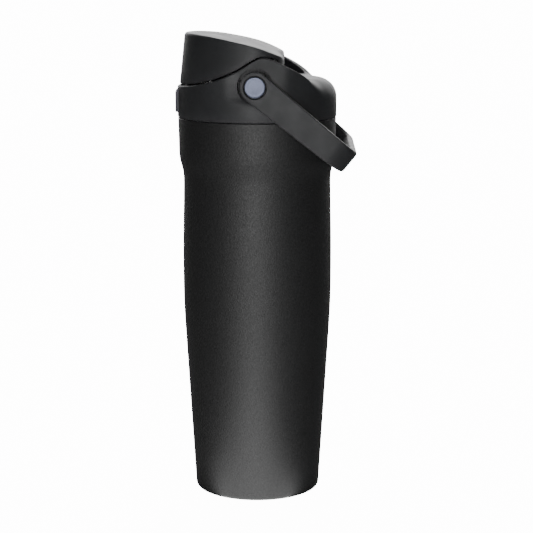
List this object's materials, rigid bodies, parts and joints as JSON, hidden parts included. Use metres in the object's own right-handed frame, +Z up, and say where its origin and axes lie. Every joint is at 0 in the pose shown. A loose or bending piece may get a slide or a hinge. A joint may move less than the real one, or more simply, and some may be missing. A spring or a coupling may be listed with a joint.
{
  "type": "vacuum flask",
  "caption": "Insulated steel flask with a screw-on lid, a latched flip cap over a drinking spout and a swinging carry handle.",
  "frame": {"origin": "centre of the foot pad's underside, on the bottle's axis", "axes": "+Z up along the bottle's axis, -X towards the release button at the front, +X towards the hinge and the resting handle, Y along the hinge pin and the handle's pivots"},
  "size_m": [0.105, 0.1006, 0.2702],
  "materials": {
    "powder_coat": "fine-grained matt black powder coat with a soft sheen",
    "bare_steel": "satin stainless steel",
    "black_plastic": "fine spark-textured black polypropylene",
    "dark_inner_plastic": "smooth satin dark grey polypropylene",
    "handle_plastic": "finely textured black polypropylene with a satin sheen",
    "button_plastic": "satin dark grey plastic",
    "silicone": "soft matt grey silicone",
    "pivot_metal": "blue-grey brushed metal disc",
    "foot_rubber": "matt black rubber with a fine stipple",
    "bearing_plastic": "off-white acetal, smooth"
  },
  "bodies": {
    "bottle": {"outer_shell": "powder_coat", "inner_vessel": "bare_steel", "base_disc": "bare_steel", "foot_pad": "foot_rubber", "vacuum_seal": "bare_steel", "getter": "bare_steel"},
    "seal": {"lid_gasket": "silicone"},
    "lid": {"lid_collar": "black_plastic", "lid_core": "dark_inner_plastic", "spout": "dark_inner_plastic", "vent_valve": "silicone", "hinge_pin": "bare_steel", "hinge_spring": "bare_steel", "pivot_bushing_right": "bearing_plastic", "pivot_bushing_left": "bearing_plastic", "pivot_screw_right": "bare_steel", "pivot_screw_left": "bare_steel"},
    "flip_cap": {"cap_shell": "black_plastic", "cap_liner": "dark_inner_plastic", "spout_seal": "silicone"},
    "button": {"release_button": "button_plastic", "latch_slide": "button_plastic", "button_spring": "bare_steel"},
    "handle": {"bail_handle": "handle_plastic", "pivot_cap_right": "pivot_metal", "pivot_cap_left": "pivot_metal"}
  },
  "joints": [
    {"name": "lid_rise", "type": "slide", "parent": "bottle", "child": "seal", "axis": [0, 0, 1], "range_m": [0, 0.0037]},
    {"name": "lid_turn", "type": "hinge", "parent": "seal", "child": "lid", "pos_m": [0, 0, 0.2359], "axis": [0, 0, 1], "range_deg": [0, 390]},
    {"name": "cap_hinge", "type": "hinge", "parent": "lid", "child": "flip_cap", "pos_m": [0.0125, 0, 0.253], "axis": [0, 1, 0], "range_deg": [0, 100], "deforming": ["hinge_spring"]},
    {"name": "handle_swing", "type": "hinge", "parent": "lid", "child": "handle", "pos_m": [0, 0, 0.242], "axis": [0, -1, 0], "range_deg": [0, 255]},
    {"name": "button_push", "type": "slide", "parent": "lid", "child": "button", "axis": [1, 0, 0], "range_m": [0, 0.0018], "stiffness_N_per_m": 400, "deforming": ["button_spring"]}
  ],
  "couplings": [
    {"joint": "lid_rise", "follows": "lid_turn", "m_per_rad": 0.00054113}
  ]
}
